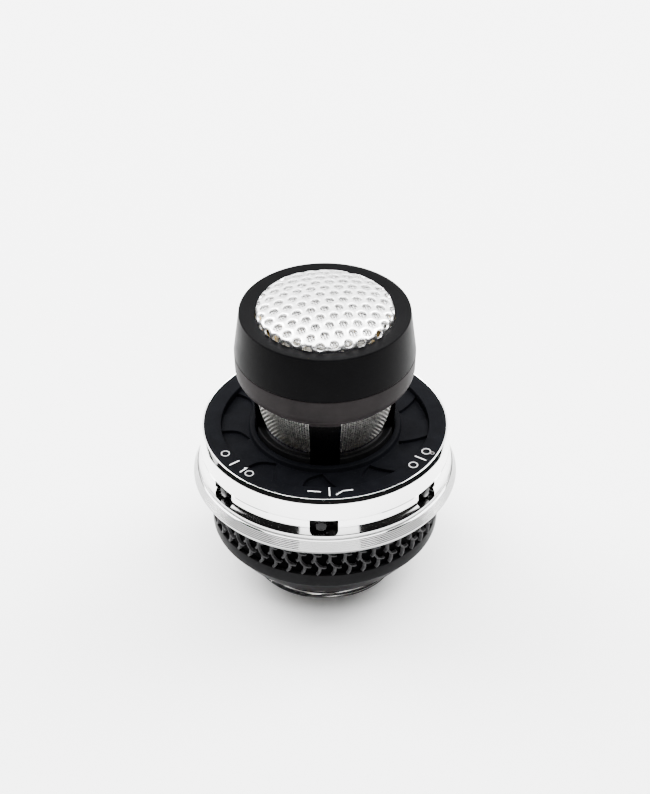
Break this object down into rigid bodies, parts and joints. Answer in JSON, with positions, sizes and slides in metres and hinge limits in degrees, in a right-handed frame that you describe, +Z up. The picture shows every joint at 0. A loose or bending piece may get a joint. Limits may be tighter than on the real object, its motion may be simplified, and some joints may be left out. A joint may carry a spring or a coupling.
{
  "type": "condenser microphone capsule",
  "caption": "Condenser microphone capsule head with a perforated front dome, side vents, suspension disc, side switches, grille mounting ring and threaded base with ring contacts.",
  "frame": {"origin": "centre of the base thread ring's lower face, on the surface that the head stands on", "axes": "+Z up along the head's axis towards the perforated dome, -Y towards the front, where the low cut switch is"},
  "size_m": [0.054, 0.054, 0.0646],
  "materials": {
    "nickel": "bright nickel plate",
    "circuit_board": "green solder mask",
    "gold": "gold plate",
    "connector_plastic": "moulded",
    "screw_steel": "plated",
    "brass": "turned",
    "capacitor": "dipped",
    "transistor_can": "drawn can",
    "black_paint": "satin black",
    "grip_rubber": "moulded tread",
    "bright_aluminium": "turned and polished",
    "disc_rubber": "moulded, fine matt",
    "frame_plastic": "moulded",
    "wire_mesh": "woven stainless wire",
    "bowl_paint": "satin black",
    "cap_paint": "satin black",
    "bright_sheet": "satin nickel plate",
    "capsule_plastic": "turned insulator",
    "gold_film": "gold coated film",
    "lead_wire": "insulated wire",
    "switch_plastic": "moulded",
    "knob_plastic": "moulded, polished"
  },
  "bodies": {
    "head": {"base_thread_ring": "nickel", "contact_board": "circuit_board", "contact_pad_centre": "gold", "contact_ring_middle": "gold", "contact_ring_outer": "gold", "contact_header": "connector_plastic", "flange_screws": "screw_steel", "board_standoffs": "brass", "preamp_board": "circuit_board", "board_screws": "screw_steel", "coupling_capacitors": "capacitor", "input_transistor": "transistor_can", "lower_shell": "black_paint", "grip_ring": "grip_rubber", "grille_mount_ring": "bright_aluminium", "shell_screws": "screw_steel", "switch_board": "circuit_board", "switch_board_header": "connector_plastic", "suspension_disc": "disc_rubber", "vent_frame": "frame_plastic", "side_mesh": "wire_mesh", "rear_bowl": "bowl_paint", "front_cap": "cap_paint", "dome_grille": "bright_sheet", "dome_mesh": "wire_mesh", "grille_retainer": "brass", "capsule_mount_ring": "disc_rubber", "capsule_insulator": "capsule_plastic", "backplate": "brass", "rear_diaphragm": "gold_film", "front_diaphragm": "gold_film", "rear_clamp_ring": "brass", "front_clamp_ring": "brass", "clamp_screws": "screw_steel", "capsule_leads": "lead_wire", "pad_switch_body": "switch_plastic", "low_cut_switch_body": "switch_plastic", "pattern_switch_body": "switch_plastic"},
    "pad_switch": {"pad_switch_slider": "knob_plastic"},
    "low_cut_switch": {"low_cut_switch_slider": "knob_plastic"},
    "pattern_switch": {"pattern_switch_slider": "knob_plastic"}
  },
  "joints": [
    {"name": "pad_switch_slide", "type": "slide", "parent": "head", "child": "pad_switch", "axis": [0.6032, -0.7976, 0], "range_m": [0, 0.0015]},
    {"name": "low_cut_switch_slide", "type": "slide", "parent": "head", "child": "low_cut_switch", "axis": [1, 0, 0], "range_m": [0, 0.0015]},
    {"name": "pattern_switch_slide", "type": "slide", "parent": "head", "child": "pattern_switch", "axis": [0.6032, 0.7976, 0], "range_m": [-0.0015, 0]}
  ]
}
